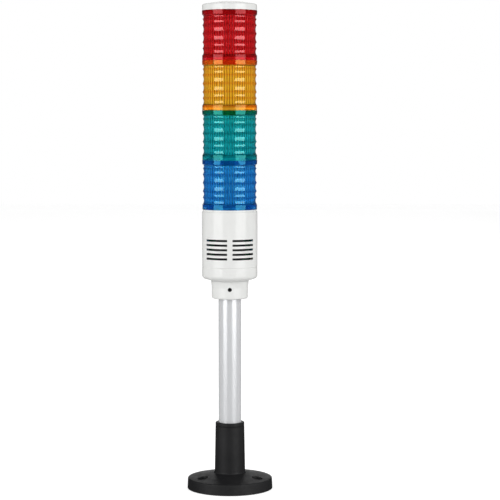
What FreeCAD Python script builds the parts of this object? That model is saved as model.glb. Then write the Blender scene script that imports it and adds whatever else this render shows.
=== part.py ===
"""Stack light: four twist-lock lamp tiers on a buzzer housing, carried by a pole on a round base.

Millimetres. +Z is up, the origin is the centre of the underside and the sound slots face -Y.
Every size is a cell of the sheet named Sizes. Each sub-part is a body whose sketches and
features are bound to those cells.
"""

import FreeCAD, Part
import math
import os
import re

import Sketcher
from FreeCAD import Placement, Rotation, Vector

SIZES = {
    # round base and its collar
    "base_diameter": 87.0,
    "base_edge_height": 11.2,
    "base_edge_draft": 0.4,
    "base_edge_round": 1.4,
    "base_foot_height": 16.4,
    "base_foot_round": 1.6,
    "base_wall": 3.0,
    "base_lip": 1.5,
    "rib_thickness": 2.4,
    "rib_count": 6,
    "collar_height": 68.5,
    "collar_foot_diameter": 31.2,
    "collar_top_diameter": 29.4,
    "collar_round": 1.0,
    "collar_ring_drop": 3.6,
    "collar_ring_depth": 0.4,
    "cable_hole_diameter": 16.0,
    "mount_circle_diameter": 64.0,
    "mount_hole_diameter": 5.5,
    "mount_hole_count": 3,
    "spot_face_diameter": 11.0,
    "spot_face_height": 11.2,
    "mount_boss_diameter": 14.0,
    # rubber gasket under the base
    "gasket_thickness": 2.0,
    "gasket_recess": 1.5,
    "gasket_clearance": 0.3,
    # pole
    "pole_diameter": 23.0,
    "pole_wall": 1.5,
    "pole_length": 198.0,
    "pole_clearance": 0.1,
    "base_socket_depth": 45.0,
    "neck_socket_depth": 26.0,
    # set screws that hold the pole
    "set_screw_diameter": 4.0,
    "set_screw_clearance": 0.1,
    "neck_screw_length": 5.0,
    "neck_screw_height": 10.0,
    "collar_screw_length": 3.0,
    "collar_screw_drop": 13.0,
    "hex_socket_width": 2.0,
    "hex_socket_depth": 1.5,
    # bottom cover and neck
    "neck_diameter": 36.8,
    "neck_top_diameter": 38.5,
    "neck_straight": 11.3,
    "neck_height": 18.2,
    "neck_round": 1.5,
    "neck_top_round": 1.5,
    "cover_rise": 2.8,
    "cover_round": 4.0,
    "cover_height": 32.2,
    "cover_wall": 2.4,
    "cover_spigot": 5.0,
    "sleeve_wall": 2.4,
    "sleeve_cap": 2.0,
    "screw_pad_width": 9.0,
    "screw_pad_height": 16.0,
    # buzzer housing
    "housing_diameter": 56.2,
    "housing_height": 58.4,
    "housing_wall": 2.3,
    "housing_chamfer": 0.4,
    "housing_lip_height": 2.0,
    "housing_lip_step": 0.8,
    "cover_fit": 0.1,
    "slot_length": 20.6,
    "slot_height": 2.2,
    "slot_pitch": 4.6,
    "slot_rows": 5,
    "slot_bridge": 5.4,
    "slot_low_height": 9.4,
    "post_diameter": 6.0,
    "post_spacing": 41.7,
    "post_setback": 9.7,
    "post_height": 24.0,
    "post_clearance": 0.3,
    # screws that hold the bottom cover
    "screw_shank_diameter": 2.4,
    "screw_length": 12.0,
    "screw_head_diameter": 5.0,
    "screw_head_height": 1.8,
    "screw_clearance": 0.05,
    "screw_recess": 2.2,
    # lamp tiers
    "tier_pitch": 50.0,
    "seam_gap": 0.1,
    "lens_diameter": 55.4,
    "lens_flare": 0.25,
    "lens_crest_diameter": 54.8,
    "lens_valley_diameter": 52.6,
    "low_band_height": 5.3,
    "high_band_height": 4.5,
    "ring_centre": 26.9,
    "wide_ring_pitch": 8.6,
    "narrow_ring_pitch": 6.1,
    "lens_bore_diameter": 48.6,
    "flute_depth": 0.7,
    "flute_count": 60,
    # twist lock between the tiers
    "socket_diameter": 51.5,
    "socket_depth": 5.2,
    "ledge_width": 1.5,
    "ledge_height": 2.4,
    "spigot_length": 4.6,
    "spigot_clearance": 0.1,
    "spigot_wall": 1.55,
    "lug_angle": 8.0,
    "lug_height": 1.6,
    "lug_depth": 0.8,
    "lug_drop": 2.8,
    "lug_clearance": 0.15,
    "lug_count": 3,
    "twist_travel": 18.0,
    "twist_play": 0.5,
    "seal_thickness": 0.5,
    "seal_width": 0.7,
    "seal_clearance": 0.05,
    # lamp module in each tier
    "carrier_clearance": 0.1,
    "carrier_ring_width": 2.4,
    "carrier_height": 2.8,
    "carrier_drop": 4.4,
    "spoke_width": 4.0,
    "spoke_count": 3,
    "hub_diameter": 19.0,
    "hub_top": 4.0,
    "board_thickness": 1.6,
    "board_clearance": 0.05,
    "board_seat": 1.0,
    "led_board_width": 17.0,
    "led_width": 5.0,
    "led_depth": 1.6,
    "led_dome_diameter": 3.6,
    "led_dome_depth": 1.0,
    "led_spacing": 9.0,
    "led_rows": 4,
    "led_row_pitch": 8.5,
    "led_low_height": 9.0,
    "contact_cap_diameter": 19.0,
    "contact_cap_height": 4.0,
    "contact_cap_top": 42.0,
    "pad_thickness": 0.4,
    "pad_width": 2.0,
    "pad_angle": 36.0,
    "pad_count": 6,
    "pin_circle_diameter": 13.0,
    "pin_diameter": 1.2,
    "pin_collar_diameter": 2.0,
    "pin_collar_length": 1.2,
    "pin_gap": 0.05,
    # what the housing holds
    "control_board_width": 42.0,
    "rail_width": 6.0,
    "rail_depth": 3.0,
    "rail_top": 36.0,
    "sounder_diameter": 32.0,
    "sounder_depth": 14.0,
    "sounder_port_diameter": 5.0,
    "sounder_port_depth": 2.0,
    "sounder_rim": 1.0,
    "capacitor_diameter": 6.3,
    "capacitor_length": 11.0,
    "relay_width": 15.0,
    "relay_height": 12.0,
    "relay_depth": 10.0,
    "board_shoulder": 5.0,
    "part_height": 14.0,
    "chip_width": 10.0,
    "chip_height": 6.0,
    "chip_depth": 2.0,
    "chip_gap": 1.8,
    "terminal_gap": 1.0,
    "terminal_width": 22.0,
    "terminal_height": 9.0,
    "terminal_depth": 8.0,
    "terminal_ways": 6,
    "terminal_hole": 2.4,
    # top cap
    "cap_side": 6.3,
    "cap_height": 9.3,
    "cap_round": 1.8,
    "cap_crown_diameter": 21.0,
    "cap_crown_round": 80.0,
    "cap_wall": 2.2,
}

ALIASES = {name: "Sizes." + name for name in SIZES}
TIERS = ["blue", "green", "amber", "red"]

doc = FreeCAD.newDocument("stack_light")
sheet = doc.addObject("Spreadsheet::Sheet", "Sizes")
for row, (name, value) in enumerate(SIZES.items(), 1):
    sheet.set("A%d" % row, name)
    sheet.set("B%d" % row, str(value))
    sheet.setAlias("B%d" % row, name)
doc.recompute()

# Heights that several pieces share, as formulas in the sheet's sizes.
POLE_SEAT = "(collar_height - base_socket_depth)"
NECK_Z = "(%s + pole_length - neck_socket_depth)" % POLE_SEAT
SEAM_Z = "(%s + cover_height)" % NECK_Z
STACK_Z = "(%s + housing_height)" % SEAM_Z
SOCKET_Z = "(%s - tier_pitch)" % STACK_Z
SPIGOT_R = "(socket_diameter / 2 - spigot_clearance)"
HOUSING_BORE_R = "(housing_diameter / 2 - housing_wall)"


def sized(formula):
    """A formula in the sizes' names, as an expression that reads the sheet."""
    return re.sub(r"[a-z]\w+", lambda word: ALIASES.get(word.group(), word.group()), formula)


def value(formula):
    """The number that a formula gives now."""
    return float(sheet.evalExpression(sized(formula)))


def body(label, height="0"):
    """A new body at a height above the origin."""
    made = doc.addObject("PartDesign::Body", label)
    made.Label = label
    made.setExpression("Placement.Base.z", sized(height))
    return made


def datum(owner, role):
    """One of a body's own origin planes or axes."""
    return next(item for item in owner.Origin.OriginFeatures if item.Role == role)


def sketch(owner, name, plane, height=None, turn=0.0):
    """An empty sketch: on the XY plane at a height, or on an upright plane turned about Z."""
    made = owner.newObject("Sketcher::SketchObject", name)
    made.AttachmentSupport = [(datum(owner, plane), "")]
    made.MapMode = "FlatFace"
    if turn:
        made.AttachmentOffset = Placement(Vector(), Rotation(Vector(0, 1, 0), turn))
    if height:
        made.setExpression("AttachmentOffset.Base.z", sized(height))
    return made


def pin_down(made, line, end, corner):
    """Ties one end of a line to a corner given as a pair of formulas."""
    for direction, formula in zip(("DistanceX", "DistanceY"), corner):
        index = made.addConstraint(
            Sketcher.Constraint(direction, -1, 1, line, end, value(formula))
        )
        made.setExpression("Constraints[%d]" % index, sized(formula))


def outline(made, corners):
    """A closed outline of straight lines; a corner with a third formula is rounded to it."""
    points = [Vector(value(corner[0]), value(corner[1]), 0) for corner in corners]
    count = len(points)
    arrivals, departures = [], []
    for index, corner in enumerate(corners):
        back = (points[index - 1] - points[index]).normalize()
        ahead = (points[(index + 1) % count] - points[index]).normalize()
        cut = 0.0
        if len(corner) == 3:
            cut = value(corner[2]) / math.tan(back.getAngle(ahead) / 2)
        arrivals.append(points[index] + back * cut)
        departures.append(points[index] + ahead * cut)
    first = made.GeometryCount
    for index in range(count):
        following = (index + 1) % count
        made.addGeometry(Part.LineSegment(departures[index], arrivals[following]), False)
    for index, corner in enumerate(corners):
        before = first + (index - 1) % count
        after = first + index
        if len(corner) == 2:
            made.addConstraint(Sketcher.Constraint("Coincident", before, 2, after, 1))
            pin_down(made, after, 1, corner)
        else:
            round_corner(made, before, after, corner, points[index],
                         arrivals[index], departures[index])


def round_corner(made, before, after, corner, point, arrival, departure):
    """Joins two lines by a tangent arc, with their sharp corner kept as a construction point."""
    sharp = made.addGeometry(Part.Point(point), True)
    pin_down(made, sharp, 1, corner[:2])
    made.addConstraint(Sketcher.Constraint("PointOnObject", sharp, 1, before))
    made.addConstraint(Sketcher.Constraint("PointOnObject", sharp, 1, after))
    chord = (arrival + departure) / 2
    radius = value(corner[2])
    middle = point + (chord - point).normalize() * math.hypot(radius, (arrival - point).Length)
    turns_left = (point - arrival).cross(departure - point).z > 0
    start, end = (arrival, departure) if turns_left else (departure, arrival)
    angles = [math.atan2(tip.y - middle.y, tip.x - middle.x) for tip in (start, end)]
    arc = made.addGeometry(
        Part.ArcOfCircle(Part.Circle(middle, Vector(0, 0, 1), radius), *angles), False)
    first_tip, last_tip = (1, 2) if turns_left else (2, 1)
    made.addConstraint(Sketcher.Constraint("Tangent", before, 2, arc, first_tip))
    made.addConstraint(Sketcher.Constraint("Tangent", arc, last_tip, after, 1))
    dimension = made.addConstraint(Sketcher.Constraint("Radius", arc, radius))
    made.setExpression("Constraints[%d]" % dimension, sized(corner[2]))


def rectangle(made, x0, x1, y0, y1):
    """A closed rectangle between four formulas."""
    outline(made, [(x0, y0), (x1, y0), (x1, y1), (x0, y1)])


def circle(made, x, y, diameter):
    """A circle at a centre given by two formulas."""
    radius = value(diameter) / 2
    index = made.addGeometry(Part.Circle(Vector(value(x), value(y), 0), Vector(0, 0, 1), radius))
    pin_down(made, index, 3, (x, y))
    dimension = made.addConstraint(Sketcher.Constraint("Diameter", index, 2 * radius))
    made.setExpression("Constraints[%d]" % dimension, sized(diameter))


def revolve(owner, name, made, angle=None, cut=False):
    """Turns an upright sketch about Z: all round, or through an angle from its own plane."""
    kind = "PartDesign::Groove" if cut else "PartDesign::Revolution"
    feature = owner.newObject(kind, name)
    feature.Profile = made
    feature.ReferenceAxis = (made, ["V_Axis"])
    feature.Angle = 360
    if angle:
        feature.setExpression("Angle", sized(angle))
    return finished(owner, feature, cut)


def pad(owner, name, made, length, middle=False, reverse=False):
    """Adds a sketch's area along its normal, against it, or to both sides of its plane."""
    feature = owner.newObject("PartDesign::Pad", name)
    feature.Profile = made
    feature.Midplane = middle
    feature.Reversed = reverse
    feature.setExpression("Length", sized(length))
    return finished(owner, feature, False)


def pocket(owner, name, made, length=None, up=True):
    """Cuts a sketch's area along its normal (up) or against it, or through everything."""
    feature = owner.newObject("PartDesign::Pocket", name)
    feature.Profile = made
    feature.Reversed = up
    if length:
        feature.setExpression("Length", sized(length))
    else:
        feature.Type = "ThroughAll"
    return finished(owner, feature, True)


def finished(owner, feature, cut):
    """Recomputes a feature and makes sure that it added or removed material."""
    before = feature.BaseFeature.Shape.Volume if feature.BaseFeature else 0.0
    doc.recompute()
    change = feature.Shape.Volume - before
    if change * (-1 if cut else 1) <= 0:
        raise RuntimeError("%s of %s changes nothing" % (feature.Name, owner.Label))
    owner.Tip = feature
    return feature


def around(owner, name, features, count):
    """Repeats features evenly about Z."""
    pattern = owner.newObject("PartDesign::PolarPattern", name)
    pattern.Originals = features
    pattern.Axis = (datum(owner, "Z_Axis"), [""])
    pattern.Angle = 360
    pattern.setExpression("Occurrences", sized(count))
    owner.Tip = pattern
    doc.recompute()
    return pattern


def row(owner, name, features, axis, pitch, count):
    """Repeats features in a straight row along one of the body's axes."""
    pattern = owner.newObject("PartDesign::LinearPattern", name)
    pattern.Originals = features
    pattern.Direction = (datum(owner, axis), [""])
    pattern.setExpression("Occurrences", sized(count))
    pattern.setExpression("Length", sized("%s * (%s - 1)" % (pitch, count)))
    owner.Tip = pattern
    doc.recompute()
    return pattern


def tube(label, height, inner, outer, low, high):
    """A plain ring about Z between two radii and two heights."""
    made = body(label, height)
    section = sketch(made, "section", "XZ_Plane")
    rectangle(section, inner, outer, low, high)
    revolve(made, "ring", section)
    return made


def make_gasket():
    """Rubber disc that seals the underside: the base stands on it."""
    gasket_r = "base_diameter / 2 - base_lip - gasket_clearance"
    gasket = tube("base_gasket", "0", "cable_hole_diameter / 2", gasket_r, "0", "gasket_thickness")
    hole = sketch(gasket, "hole", "XY_Plane")
    circle(hole, "0", "mount_circle_diameter / 2", "mount_hole_diameter")
    cut = pocket(gasket, "screw_hole", hole)
    around(gasket, "screw_holes", [cut], "mount_hole_count")


def make_pole_base():
    """Round base moulded in one with its tapered collar, hollow and ribbed underneath."""
    base = body("pole_base")
    recess = "gasket_thickness"
    edge_r = "base_diameter / 2"
    foot_r = "collar_foot_diameter / 2"
    top_r = "collar_top_diameter / 2"
    socket_r = "pole_diameter / 2 + pole_clearance"
    cable_r = "cable_hole_diameter / 2"
    section = sketch(base, "section", "XZ_Plane")
    outline(section, [
        (cable_r, recess),
        ("base_diameter / 2 - base_lip", recess),
        ("base_diameter / 2 - base_lip", "gasket_thickness - gasket_recess"),
        (edge_r, "gasket_thickness - gasket_recess"),
        (edge_r + " - base_edge_draft", "base_edge_height", "base_edge_round"),
        (foot_r, "base_foot_height", "base_foot_round"),
        (top_r, "collar_height", "collar_round"),
        (socket_r, "collar_height"),
        (socket_r, POLE_SEAT),
        (cable_r, POLE_SEAT),
    ])
    revolve(base, "turned", section)

    ring = sketch(base, "ring_section", "XZ_Plane")
    ring_z = "collar_height - collar_ring_drop"
    outline(ring, [
        (top_r + " - collar_ring_depth", ring_z),
        (top_r + " + collar_ring_depth", ring_z + " - collar_ring_depth * 2"),
        (top_r + " + collar_ring_depth", ring_z + " + collar_ring_depth * 2"),
    ])
    revolve(base, "collar_ring", ring, cut=True)

    hollow = sketch(base, "hollow_section", "XZ_Plane")
    inner_r = foot_r
    outer_r = "base_diameter / 2 - base_wall"
    outline(hollow, [
        (inner_r, recess),
        (outer_r, recess),
        (outer_r, "base_edge_height - base_wall"),
        (inner_r, "base_foot_height - base_wall"),
    ])
    revolve(base, "hollow", hollow, cut=True)

    rib = sketch(base, "rib_side", "XZ_Plane")
    outline(rib, [
        (inner_r + " - base_wall / 2", recess),
        (outer_r + " + base_wall / 2", recess),
        (outer_r + " + base_wall / 2", "base_edge_height - base_wall / 2"),
        (inner_r + " - base_wall / 2", "base_foot_height - base_wall / 2"),
    ])
    first_rib = pad(base, "rib", rib, "rib_thickness", middle=True)
    around(base, "ribs", [first_rib], "rib_count")

    boss = sketch(base, "boss_circle", "XY_Plane", height=recess)
    circle(boss, "0", "mount_circle_diameter / 2", "mount_boss_diameter")
    first_boss = pad(base, "mount_boss", boss, "spot_face_height - gasket_thickness")
    face = sketch(base, "spot_circle", "XY_Plane", height="spot_face_height")
    circle(face, "0", "mount_circle_diameter / 2", "spot_face_diameter")
    first_face = pocket(base, "spot_face", face, "base_foot_height")
    hole = sketch(base, "hole_circle", "XY_Plane")
    circle(hole, "0", "mount_circle_diameter / 2", "mount_hole_diameter")
    first_hole = pocket(base, "mount_hole", hole, "base_foot_height")
    around(base, "mount_holes", [first_boss, first_face, first_hole], "mount_hole_count")

    thread = sketch(base, "thread_circle", "XZ_Plane")
    circle(thread, "0", "collar_height - collar_screw_drop",
           "set_screw_diameter + 2 * set_screw_clearance")
    pocket(base, "thread", thread, "collar_foot_diameter", up=False)
    return base


def make_pole():
    """Aluminium tube from the shoulder in the collar to the stop in the neck."""
    tube("pole", POLE_SEAT, "pole_diameter / 2 - pole_wall", "pole_diameter / 2", "0", "pole_length")


def make_set_screw(label, height, length, front):
    """Headless screw with a hexagon socket; its point bears on the pole."""
    screw = body(label, height)
    side = 1 if front else -1
    shank = sketch(screw, "shank_circle", "XZ_Plane", height="pole_diameter / 2 * %d" % side)
    circle(shank, "0", "0", "set_screw_diameter")
    grip = pad(screw, "shank", shank, length, reverse=not front)
    socket = sketch(screw, "hexagon", "XZ_Plane",
                    height="(pole_diameter / 2 + %s) * %d" % (length, side))
    half = "hex_socket_width / 2"
    corner = "hex_socket_width / 2 / 0.866025"
    outline(socket, [
        (half, corner + " / 2"),
        ("0", corner),
        ("-" + half, corner + " / 2"),
        ("-" + half, "-" + corner + " / 2"),
        ("0", "-" + corner),
        (half, "-" + corner + " / 2"),
    ])
    pocket(screw, "hexagon_socket", socket, "hex_socket_depth", up=not front)
    return grip


def post_circles(made, diameter):
    """Two circles behind the middle, left and right, where the screws hold the bottom cover."""
    for side in ("-", ""):
        circle(made, side + "post_spacing / 2", "post_setback", diameter)


def make_bottom_cover():
    """White cover that closes the housing, with its conical underside, neck and pole sleeve."""
    cover = body("bottom_cover", NECK_Z)
    neck_r = "neck_diameter / 2"
    side_r = "housing_diameter / 2"
    sleeve_r = "pole_diameter / 2 + pole_clearance"
    sleeve_out_r = sleeve_r + " + sleeve_wall"
    spigot_r = HOUSING_BORE_R + " - cover_fit"
    rise_z = "neck_height + cover_rise"
    floor_z = "neck_height + cover_wall"
    stop_z = "neck_socket_depth"
    section = sketch(cover, "section", "XZ_Plane")
    outline(section, [
        (sleeve_r, "0"),
        (neck_r, "0", "neck_round"),
        (neck_r, "neck_straight"),
        ("neck_top_diameter / 2", "neck_height", "neck_top_round"),
        (side_r, rise_z, "cover_round"),
        (side_r, "cover_height - housing_chamfer"),
        (side_r + " - housing_chamfer", "cover_height"),
        (spigot_r, "cover_height"),
        (spigot_r, "cover_height + cover_spigot"),
        (spigot_r + " - cover_wall", "cover_height + cover_spigot"),
        (spigot_r + " - cover_wall", rise_z + " + cover_wall"),
        (neck_r + " - cover_wall", floor_z),
        (neck_r + " - cover_wall", "cover_wall"),
        (sleeve_out_r, "cover_wall"),
        (sleeve_out_r, stop_z + " + sleeve_cap"),
        ("cable_hole_diameter / 2", stop_z + " + sleeve_cap"),
        ("cable_hole_diameter / 2", stop_z),
        (sleeve_r, stop_z),
    ])
    revolve(cover, "turned", section)

    block = sketch(cover, "screw_pad_plan", "XY_Plane", height="cover_wall / 2")
    rectangle(block, "-screw_pad_width / 2", "screw_pad_width / 2",
              "-" + neck_r + " + cover_wall / 2", "-(" + sleeve_r + " + sleeve_wall / 2)")
    pad(cover, "screw_pad", block, "screw_pad_height")
    thread = sketch(cover, "thread_circle", "XZ_Plane")
    circle(thread, "0", "neck_screw_height", "set_screw_diameter + 2 * set_screw_clearance")
    pocket(cover, "thread", thread, "neck_top_diameter", up=True)

    rail = sketch(cover, "rail_plan", "XY_Plane", height=floor_z)
    rectangle(rail, "control_board_width / 2 - rail_depth / 2", spigot_r + " - cover_wall / 2",
              "-rail_width / 2", "rail_width / 2")
    first_rail = pad(cover, "rail", rail, "rail_top - neck_height - cover_wall")
    groove = sketch(cover, "rail_groove_plan", "XY_Plane", height=stop_z + " + sleeve_cap")
    half_groove = "(board_thickness / 2 + board_clearance)"
    rectangle(groove, "0", "control_board_width / 2 + board_clearance",
              "-" + half_groove, half_groove)
    first_groove = pocket(cover, "rail_groove", groove, "rail_top")
    around(cover, "rails", [first_rail, first_groove], "2")

    notch = sketch(cover, "notch_circles", "XY_Plane", height=rise_z + " + cover_wall")
    post_circles(notch, "post_diameter + 2 * post_clearance")
    pocket(cover, "post_notches", notch, "cover_height")
    head = sketch(cover, "screw_head_circles", "XY_Plane")
    post_circles(head, "screw_head_diameter + 4 * screw_clearance")
    pocket(cover, "head_recesses", head, "neck_height + screw_recess")
    shank = sketch(cover, "screw_circles", "XY_Plane")
    post_circles(shank, "screw_shank_diameter + 2 * screw_clearance")
    pocket(cover, "screw_holes", shank, "cover_height")
    return cover


def make_housing_screws():
    """Screws that go up through the bottom cover into the posts of the housing."""
    screws = body("housing_screws", "%s + neck_height + screw_recess" % NECK_Z)
    shank = sketch(screws, "shank_circles", "XY_Plane")
    post_circles(shank, "screw_shank_diameter")
    pad(screws, "shanks", shank, "screw_length")
    head = sketch(screws, "head_circles", "XY_Plane", height="-screw_head_height")
    post_circles(head, "screw_head_diameter")
    pad(screws, "heads", head, "screw_head_height")
    return screws


def make_housing():
    """White buzzer housing: a moulded shell with sound slots, screw posts and a lock socket."""
    housing = body("buzzer_housing", SEAM_Z)
    side_r = "housing_diameter / 2"
    lip_r = "housing_diameter / 2 - housing_lip_step"
    lip_z = "housing_height - housing_lip_height"
    ledge_z = "housing_height - socket_depth"
    section = sketch(housing, "section", "XZ_Plane")
    outline(section, [
        (HOUSING_BORE_R, "0"),
        (side_r + " - housing_chamfer", "0"),
        (side_r, "housing_chamfer"),
        (side_r, lip_z + " - housing_chamfer"),
        (side_r + " - housing_chamfer", lip_z),
        (lip_r, lip_z),
        (lip_r, "housing_height - seam_gap"),
        ("socket_diameter / 2", "housing_height - seam_gap"),
        ("socket_diameter / 2", ledge_z),
        ("socket_diameter / 2 - ledge_width", ledge_z),
        ("socket_diameter / 2 - ledge_width", ledge_z + " - ledge_height"),
        (HOUSING_BORE_R, ledge_z + " - ledge_height - ledge_width"),
    ])
    revolve(housing, "turned", section)

    slots = sketch(housing, "slot_rectangles", "XZ_Plane")
    for side in ("", "-"):
        near = side + "slot_bridge / 2"
        far = side + "(slot_bridge / 2 + slot_length)"
        low = "slot_low_height - slot_height / 2"
        high = "slot_low_height + slot_height / 2"
        rectangle(slots, *((near, far) if not side else (far, near)), low, high)
    low_slots = pocket(housing, "low_slots", slots, side_r, up=True)
    row(housing, "sound_slots", [low_slots], "Z_Axis", "slot_pitch", "slot_rows")

    foot_z = "neck_height + cover_rise + cover_wall - cover_height"
    post = sketch(housing, "post_circles", "XY_Plane", height=foot_z)
    post_circles(post, "post_diameter")
    pad(housing, "posts", post, "post_height")
    pilot = sketch(housing, "pilot_circles", "XY_Plane", height=foot_z)
    post_circles(pilot, "screw_shank_diameter + 2 * screw_clearance")
    pocket(housing, "pilot_holes", pilot, "screw_length")
    cut_lock_slots(housing, "housing_height")
    return housing


def cut_lock_slots(owner, top_z):
    """Cuts the L-shaped slots of the twist lock into a socket whose rim is at a height."""
    low = "%s - lug_drop - lug_height - lug_clearance" % top_z
    high = "%s - lug_drop + lug_clearance" % top_z
    inner = SPIGOT_R + " - spigot_clearance"
    outer = SPIGOT_R + " + lug_depth + lug_clearance"
    start = 90 - value("lug_angle / 2 + twist_play")
    entry_start = start + value("twist_travel")
    run = sketch(owner, "lock_run_section", "XZ_Plane", turn=start)
    rectangle(run, inner, outer, low, high)
    first_run = revolve(owner, "lock_run", run, "twist_travel + lug_angle + 2 * twist_play", cut=True)
    entry = sketch(owner, "lock_entry_section", "XZ_Plane", turn=entry_start)
    rectangle(entry, inner, outer, low, top_z)
    first_entry = revolve(owner, "lock_entry", entry, "lug_angle + 2 * twist_play", cut=True)
    around(owner, "lock_slots", [first_run, first_entry], "lug_count")


def add_lugs(owner):
    """Adds the lugs of the twist lock round a spigot that hangs below the body's own origin."""
    low = "-lug_drop - lug_height"
    start = 90 - value("lug_angle / 2")
    lug = sketch(owner, "lug_section", "XZ_Plane", turn=start)
    rectangle(lug, SPIGOT_R + " - spigot_wall / 2", SPIGOT_R + " + lug_depth", low, "-lug_drop")
    first_lug = revolve(owner, "lug", lug, "lug_angle")
    around(owner, "lugs", [first_lug], "lug_count")


def make_lens(label, height):
    """Clear tier: rings outside, upright flutes inside, a lock socket on top and a spigot below."""
    lens = body(label, height)
    crest_r = "lens_crest_diameter / 2"
    valley_r = "lens_valley_diameter / 2"
    band_r = "lens_diameter / 2"
    bore_r = "lens_bore_diameter / 2"
    root_r = "(lens_bore_diameter / 2 + flute_depth)"
    ledge_z = "(tier_pitch - socket_depth)"
    rim_z = "tier_pitch - seam_gap"
    band_z = "tier_pitch - high_band_height"
    top_crest = "ring_centre + wide_ring_pitch + narrow_ring_pitch"
    rings = [
        (valley_r, "ring_centre - wide_ring_pitch - narrow_ring_pitch * 1.5"),
        (crest_r, "ring_centre - wide_ring_pitch - narrow_ring_pitch"),
        (valley_r, "ring_centre - wide_ring_pitch - narrow_ring_pitch / 2"),
        (crest_r, "ring_centre - wide_ring_pitch"),
        (valley_r, "ring_centre - wide_ring_pitch / 2"),
        (crest_r, "ring_centre"),
        (valley_r, "ring_centre + wide_ring_pitch / 2"),
        (crest_r, "ring_centre + wide_ring_pitch"),
        (valley_r, "ring_centre + wide_ring_pitch + narrow_ring_pitch / 2"),
        (crest_r, top_crest),
        (valley_r, "(%s + %s) / 2" % (top_crest, band_z)),
    ]
    section = sketch(lens, "section", "XZ_Plane")
    outline(section, [
        (SPIGOT_R + " - spigot_wall", "-spigot_length"),
        (SPIGOT_R, "-spigot_length"),
        (SPIGOT_R, "0"),
        (band_r, "0"),
        (band_r, "low_band_height"),
        *rings,
        (band_r, band_z),
        (band_r + " + lens_flare", rim_z),
        ("socket_diameter / 2", rim_z),
        ("socket_diameter / 2", ledge_z),
        (bore_r, ledge_z),
        (bore_r, "low_band_height"),
        (SPIGOT_R + " - spigot_wall", "low_band_height / 2"),
    ])
    revolve(lens, "turned", section)

    cut_lock_slots(lens, "tier_pitch")
    add_lugs(lens)

    half_width = root_r + " * tan(180 deg / flute_count)"
    flute = sketch(lens, "flute_section", "XY_Plane", height="low_band_height")
    outline(flute, [
        (bore_r + " - flute_depth", "-(%s)" % half_width),
        (root_r, "0"),
        (bore_r + " - flute_depth", half_width),
    ])
    first_flute = pocket(lens, "flute", flute, "tier_pitch - socket_depth - low_band_height")
    around(lens, "flutes", [first_flute], "flute_count")
    return lens


def make_seal(label, height):
    """Flat rubber ring on the ledge of a lock socket, under the spigot of the piece above."""
    outer = "socket_diameter / 2 - seal_clearance"
    tube(label, height, outer + " - seal_width", outer, "0", "seal_thickness")


def make_carrier(label, height):
    """White moulding clipped into a spigot: a ring, spokes and a hub with the board's slot."""
    carrier = body(label, height)
    ring_r = SPIGOT_R + " - spigot_wall - carrier_clearance"
    section = sketch(carrier, "ring_section", "XZ_Plane")
    rectangle(section, ring_r + " - carrier_ring_width", ring_r,
              "-carrier_drop", "carrier_height - carrier_drop")
    revolve(carrier, "ring", section)
    spoke = sketch(carrier, "spoke_plan", "XY_Plane", height="-carrier_drop")
    rectangle(spoke, "-spoke_width / 2", "spoke_width / 2",
              "hub_diameter / 4", ring_r + " - carrier_ring_width / 2")
    first_spoke = pad(carrier, "spoke", spoke, "carrier_height")
    around(carrier, "spokes", [first_spoke], "spoke_count")
    hub = sketch(carrier, "hub_circle", "XY_Plane", height="-carrier_drop")
    circle(hub, "0", "0", "hub_diameter")
    pad(carrier, "hub", hub, "hub_top + carrier_drop")
    slot = sketch(carrier, "slot_plan", "XY_Plane", height="board_seat - carrier_drop")
    rectangle(slot, "-led_board_width / 2 - board_clearance", "led_board_width / 2 + board_clearance",
              "-board_thickness / 2 - board_clearance", "board_thickness / 2 + board_clearance")
    pocket(carrier, "board_slot", slot, "hub_top + carrier_drop")
    return carrier


def make_board(label, height, width, low, high):
    """Upright circuit board across the axis."""
    board = body(label, height)
    plan = sketch(board, "plan", "XY_Plane", height=low)
    rectangle(plan, "-(%s) / 2" % width, "(%s) / 2" % width,
              "-board_thickness / 2", "board_thickness / 2")
    pad(board, "board", plan, "%s - (%s)" % (high, low))
    return board


def make_leds(label, height):
    """LEDs soldered to both faces of a board, each a square package with a round lens."""
    leds = body(label, height)
    starts = []
    for side, sign in (("front", ""), ("back", "-")):
        package = sketch(leds, side + "_squares", "XZ_Plane", height=sign + "board_thickness / 2")
        dome = sketch(leds, side + "_circles", "XZ_Plane",
                      height=sign + "(board_thickness / 2 + led_depth)")
        for column in ("-", ""):
            middle = column + "led_spacing / 2"
            rectangle(package, middle + " - led_width / 2", middle + " + led_width / 2",
                      "led_low_height - led_width / 2", "led_low_height + led_width / 2")
            circle(dome, middle, "led_low_height", "led_dome_diameter")
        back = side == "back"
        starts.append(pad(leds, side + "_packages", package, "led_depth", reverse=back))
        starts.append(pad(leds, side + "_domes", dome, "led_dome_depth", reverse=back))
    row(leds, "led_rows_up", starts, "Z_Axis", "led_row_pitch", "led_rows")
    return leds


def make_pins(label, height):
    """Spring contact pins under a hub; each tip stands on the pad of the tier below."""
    pins = body(label, height)
    tip_z = "contact_cap_top + pad_thickness + pin_gap - tier_pitch"
    spot = sketch(pins, "pin_circle", "XY_Plane", height=tip_z)
    circle(spot, "0", "pin_circle_diameter / 2", "pin_diameter")
    first_pin = pad(pins, "pin", spot, "-carrier_drop - (%s)" % tip_z)
    shell = sketch(pins, "collar_circle", "XY_Plane", height="-carrier_drop - pin_collar_length")
    circle(shell, "0", "pin_circle_diameter / 2", "pin_collar_diameter")
    first_collar = pad(pins, "pin_collar", shell, "pin_collar_length")
    around(pins, "pins", [first_pin, first_collar], "pad_count")
    return pins


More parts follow.
